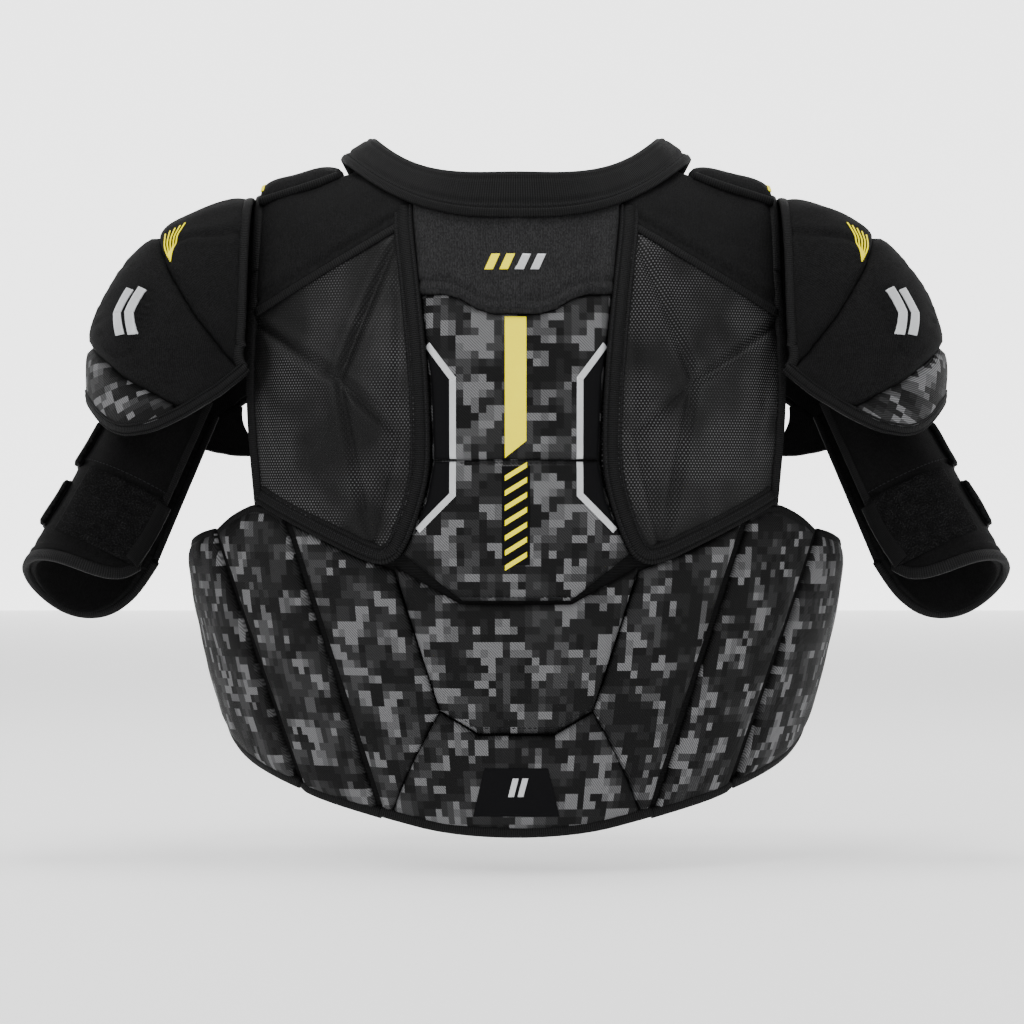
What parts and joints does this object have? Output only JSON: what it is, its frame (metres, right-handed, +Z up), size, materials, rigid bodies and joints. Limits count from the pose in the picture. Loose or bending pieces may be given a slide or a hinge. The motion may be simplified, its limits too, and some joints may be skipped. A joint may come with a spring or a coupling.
{
  "type": "hockey shoulder pads",
  "caption": "Padded upper-body protector with a segmented back, hinged side wings, domed shoulder caps, strapped bicep guards and a chest panel under a ribbed collar.",
  "frame": {"origin": "middle of the neck opening at the level of the shoulder arches, midway between back and front", "axes": "+X to the wearer's right, +Y from the wearer's back to the chest, +Z up"},
  "size_m": [0.7188, 0.3032, 0.502],
  "materials": {
    "black_knit": "heather black polyester knit over foam",
    "camouflage_weave": "woven twill with a grey and black block camouflage",
    "moulded_mesh": "open black mesh moulded over foam",
    "ribbed_collar": "black ribbed elastic knit",
    "brushed_knit": "matt black laminated knit",
    "lining_knit": "smooth black lining",
    "loop_pile": "black hook-and-loop pile",
    "black_webbing": "black elastic webbing",
    "printed_badge": "black patch with a silver foil print",
    "plastic_plate": "moulded polyethylene"
  },
  "bodies": {
    "back": {"name_panel": "black_knit", "spine_upper_pad": "camouflage_weave", "spine_middle_pad": "camouflage_weave", "spine_plate": "plastic_plate", "back_liner": "lining_knit", "collar_back": "ribbed_collar", "collar_front": "ribbed_collar", "left_blade_pad": "moulded_mesh", "right_blade_pad": "moulded_mesh", "left_blade_plate": "plastic_plate", "right_blade_plate": "plastic_plate", "left_yoke_pad": "black_knit", "right_yoke_pad": "black_knit", "left_shoulder_arch": "black_knit", "right_shoulder_arch": "black_knit"},
    "lower_back": {"lumbar_pad": "camouflage_weave", "tail_pad": "camouflage_weave", "tail_badge": "printed_badge", "lumbar_liner": "lining_knit", "left_wing_inner_pad": "camouflage_weave", "right_wing_inner_pad": "camouflage_weave"},
    "front": {"sternum_pad": "black_knit", "sternum_plate": "plastic_plate", "belly_pad": "black_knit", "front_liner": "lining_knit", "left_chest_pad": "black_knit", "right_chest_pad": "black_knit", "left_collarbone_pad": "black_knit", "right_collarbone_pad": "black_knit", "left_front_loop_patch": "loop_pile", "right_front_loop_patch": "loop_pile"},
    "left_wing_middle": {"left_wing_middle_pad": "camouflage_weave"},
    "left_wing_end": {"left_wing_end_pad": "camouflage_weave"},
    "left_side_strap": {"left_side_strap": "black_webbing", "left_side_strap_tab": "loop_pile"},
    "left_cap": {"left_cap_top_pad": "black_knit", "left_cap_middle_pad": "black_knit", "left_cap_tip_pad": "camouflage_weave", "left_cap_shell": "plastic_plate"},
    "left_hanger": {"left_arm_hanger": "black_webbing"},
    "left_guard": {"left_bicep_pad": "brushed_knit", "left_bicep_shell": "plastic_plate", "left_bicep_loop_patch": "loop_pile"},
    "left_upper_strap": {"left_upper_arm_strap": "black_webbing"},
    "left_lower_strap": {"left_lower_arm_strap": "black_webbing"},
    "right_wing_middle": {"right_wing_middle_pad": "camouflage_weave"},
    "right_wing_end": {"right_wing_end_pad": "camouflage_weave"},
    "right_side_strap": {"right_side_strap": "black_webbing", "right_side_strap_tab": "loop_pile"},
    "right_cap": {"right_cap_top_pad": "black_knit", "right_cap_middle_pad": "black_knit", "right_cap_tip_pad": "camouflage_weave", "right_cap_shell": "plastic_plate"},
    "right_hanger": {"right_arm_hanger": "black_webbing"},
    "right_guard": {"right_bicep_pad": "brushed_knit", "right_bicep_shell": "plastic_plate", "right_bicep_loop_patch": "loop_pile"},
    "right_upper_strap": {"right_upper_arm_strap": "black_webbing"},
    "right_lower_strap": {"right_lower_arm_strap": "black_webbing"}
  },
  "joints": [
    {"name": "lower_back_flex", "type": "hinge", "parent": "back", "child": "lower_back", "pos_m": [0, -0.137, -0.262], "axis": [1, 0, 0], "range_deg": [-12, 4]},
    {"name": "front_swing", "type": "hinge", "parent": "back", "child": "front", "pos_m": [0, 0.028, 0.012], "axis": [1, 0, 0], "range_deg": [0, 25]},
    {"name": "left_wing_bend", "type": "hinge", "parent": "lower_back", "child": "left_wing_middle", "pos_m": [-0.1421, -0.1134, -0.297], "axis": [0.3098, -0.0365, -0.9501], "range_deg": [-6, 10]},
    {"name": "left_wing_end_bend", "type": "hinge", "parent": "left_wing_middle", "child": "left_wing_end", "pos_m": [-0.1985, -0.0756, -0.297], "axis": [0.3289, -0.1201, -0.9367], "range_deg": [-6, 10]},
    {"name": "left_side_strap_turn", "type": "hinge", "parent": "left_wing_end", "child": "left_side_strap", "pos_m": [-0.2225, 0.05, -0.297], "axis": [0, 0, 1], "range_deg": [-32, 20]},
    {"name": "left_cap_lift", "type": "hinge", "parent": "back", "child": "left_cap", "pos_m": [-0.1945, 0.02336, 0.00146], "axis": [0, 0.9848, -0.1736], "range_deg": [0, 50]},
    {"name": "left_arm_swing", "type": "hinge", "parent": "left_cap", "child": "left_hanger", "pos_m": [-0.2466, 0.01055, -0.07117], "axis": [0, -0.9848, 0.1736], "range_deg": [-3, 5]},
    {"name": "left_arm_reach", "type": "slide", "parent": "left_hanger", "child": "left_guard", "axis": [-0.4226, -0.1574, -0.8925], "range_m": [0, 0.02]},
    {"name": "left_upper_strap_open", "type": "hinge", "parent": "left_guard", "child": "left_upper_strap", "pos_m": [-0.27375, 0.03412, -0.20364], "axis": [-0.4226, -0.1574, -0.8925], "range_deg": [0, 55]},
    {"name": "left_lower_strap_open", "type": "hinge", "parent": "left_guard", "child": "left_lower_strap", "pos_m": [-0.29478, 0.03051, -0.24906], "axis": [-0.4226, -0.1574, -0.8925], "range_deg": [0, 55]},
    {"name": "right_wing_bend", "type": "hinge", "parent": "lower_back", "child": "right_wing_middle", "pos_m": [0.1421, -0.1134, -0.297], "axis": [0.3098, 0.0365, 0.9501], "range_deg": [-6, 10]},
    {"name": "right_wing_end_bend", "type": "hinge", "parent": "right_wing_middle", "child": "right_wing_end", "pos_m": [0.1985, -0.0756, -0.297], "axis": [0.3289, 0.1201, 0.9367], "range_deg": [-6, 10]},
    {"name": "right_side_strap_turn", "type": "hinge", "parent": "right_wing_end", "child": "right_side_strap", "pos_m": [0.2225, 0.05, -0.297], "axis": [0, 0, -1], "range_deg": [-32, 20]},
    {"name": "right_cap_lift", "type": "hinge", "parent": "back", "child": "right_cap", "pos_m": [0.1945, 0.02336, 0.00146], "axis": [0, -0.9848, 0.1736], "range_deg": [0, 50]},
    {"name": "right_arm_swing", "type": "hinge", "parent": "right_cap", "child": "right_hanger", "pos_m": [0.2466, 0.01055, -0.07117], "axis": [0, 0.9848, -0.1736], "range_deg": [-3, 5]},
    {"name": "right_arm_reach", "type": "slide", "parent": "right_hanger", "child": "right_guard", "axis": [0.4226, -0.1574, -0.8925], "range_m": [0, 0.02]},
    {"name": "right_upper_strap_open", "type": "hinge", "parent": "right_guard", "child": "right_upper_strap", "pos_m": [0.27375, 0.03412, -0.20364], "axis": [-0.4226, 0.1574, 0.8925], "range_deg": [0, 55]},
    {"name": "right_lower_strap_open", "type": "hinge", "parent": "right_guard", "child": "right_lower_strap", "pos_m": [0.29478, 0.03051, -0.24906], "axis": [-0.4226, 0.1574, 0.8925], "range_deg": [0, 55]}
  ],
  "couplings": [
    {"joint": "left_wing_end_bend", "follows": "left_wing_bend", "ratio": 1},
    {"joint": "right_wing_end_bend", "follows": "right_wing_bend", "ratio": 1}
  ]
}
